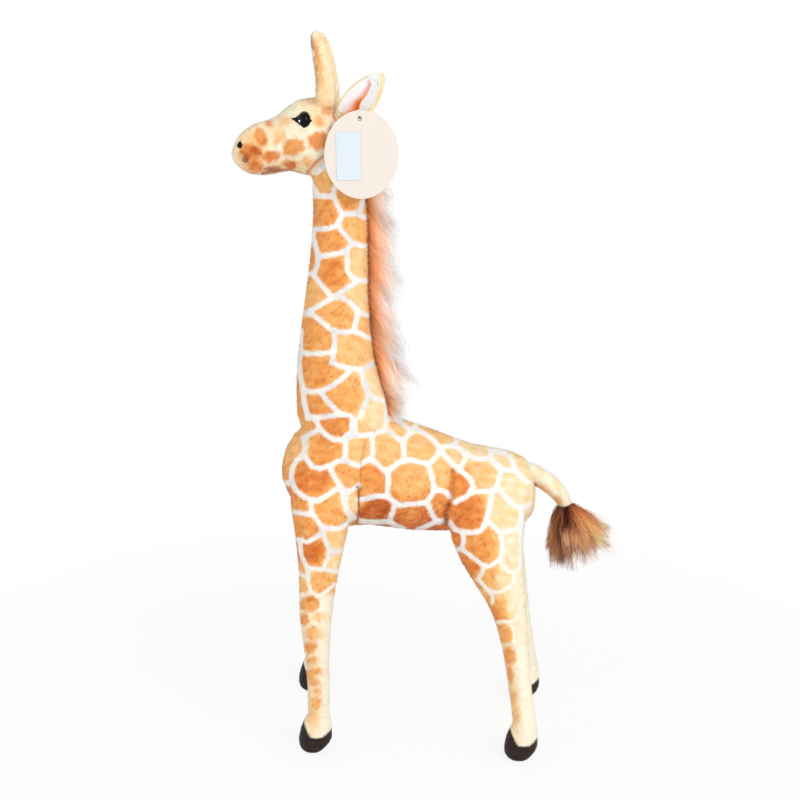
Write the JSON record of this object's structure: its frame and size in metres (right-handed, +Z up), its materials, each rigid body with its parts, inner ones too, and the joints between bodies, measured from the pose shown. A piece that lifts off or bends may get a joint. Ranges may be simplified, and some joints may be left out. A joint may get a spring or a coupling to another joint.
{
  "type": "plush giraffe",
  "caption": "Standing plush giraffe with a wire frame inside, soft mane, horns, folding ears, wagging tail with a tuft, and a blank hang tag.",
  "frame": {"origin": "on the floor, at the centre of the bounding box's bottom", "axes": "+X towards the tail (the face is towards -X), +Y towards the giraffe's right side, +Z up along its height"},
  "size_m": [0.4394, 0.1916, 0.8013],
  "materials": {
    "plush_coat": "matte short pile, patched orange and cream",
    "hoof_plush": "matte short pile",
    "horn_plush": "matte short pile",
    "ear_lining": "matte short pile",
    "mane_pile": "matte long pile",
    "tuft_pile": "matte long pile",
    "stuffing": "matte",
    "eye_plastic": "gloss",
    "dark_backing": "matte",
    "white_plastic": "satin",
    "black_plastic": "satin",
    "frame_steel": "satin",
    "tag_card": "satin",
    "sticker_paper": "satin"
  },
  "bodies": {
    "figure": {"front_frame_clip": "black_plastic", "front_leg_frame": "frame_steel", "head_skin": "plush_coat", "head_stuffing": "stuffing", "left_eye": "eye_plastic", "left_eye_backing": "dark_backing", "left_eye_washer": "white_plastic", "left_front_hoof_cover": "hoof_plush", "left_front_hoof_stuffing": "stuffing", "left_front_leg_skin": "plush_coat", "left_front_leg_stuffing": "stuffing", "left_horn_skin": "horn_plush", "left_horn_stuffing": "stuffing", "left_nostril": "dark_backing", "left_rear_hoof_cover": "hoof_plush", "left_rear_hoof_stuffing": "stuffing", "left_rear_leg_skin": "plush_coat", "left_rear_leg_stuffing": "stuffing", "mane": "mane_pile", "neck_skin": "plush_coat", "neck_stuffing": "stuffing", "rear_frame_clip": "black_plastic", "rear_leg_frame": "frame_steel", "right_eye": "eye_plastic", "right_eye_backing": "dark_backing", "right_eye_washer": "white_plastic", "right_front_hoof_cover": "hoof_plush", "right_front_hoof_stuffing": "stuffing", "right_front_leg_skin": "plush_coat", "right_front_leg_stuffing": "stuffing", "right_horn_skin": "horn_plush", "right_horn_stuffing": "stuffing", "right_nostril": "dark_backing", "right_rear_hoof_cover": "hoof_plush", "right_rear_hoof_stuffing": "stuffing", "right_rear_leg_skin": "plush_coat", "right_rear_leg_stuffing": "stuffing", "spine_neck_rod": "frame_steel", "torso_skin": "plush_coat", "torso_stuffing": "stuffing"},
    "left_ear": {"left_ear_outer": "plush_coat", "left_ear_lining": "ear_lining", "tag_fastener": "white_plastic"},
    "right_ear": {"right_ear_outer": "plush_coat", "right_ear_lining": "ear_lining"},
    "tail": {"tail_skin": "plush_coat", "tail_stuffing": "stuffing"},
    "tuft": {"tail_tuft": "tuft_pile"},
    "hang_tag": {"tag_back_leaf": "tag_card", "tag_front_leaf": "tag_card", "tag_sticker": "sticker_paper"}
  },
  "joints": [
    {"name": "left_ear_fold", "type": "hinge", "parent": "figure", "child": "left_ear", "pos_m": [-0.09692, -0.02117, 0.70578], "axis": [0.7476, -0.1703, -0.642], "range_deg": [-18, 8], "stiffness_Nm_per_rad": 0.05},
    {"name": "right_ear_fold", "type": "hinge", "parent": "figure", "child": "right_ear", "pos_m": [-0.09692, 0.02117, 0.70578], "axis": [0.7476, 0.1703, -0.642], "range_deg": [-14, 18], "stiffness_Nm_per_rad": 0.05},
    {"name": "tail_wag", "type": "hinge", "parent": "figure", "child": "tail", "pos_m": [0.13241, 0, 0.31626], "axis": [0, 0, 1], "range_deg": [-25, 25], "stiffness_Nm_per_rad": 0.3},
    {"name": "tuft_flop", "type": "hinge", "parent": "tail", "child": "tuft", "pos_m": [0.17483, 0, 0.27675], "axis": [0, 1, 0], "range_deg": [-25, 15], "stiffness_Nm_per_rad": 0.3},
    {"name": "tag_swing", "type": "hinge", "parent": "left_ear", "child": "hang_tag", "pos_m": [-0.07687, -0.03243, 0.71288], "axis": [0, 1, 0], "range_deg": [-20, 20]}
  ]
}
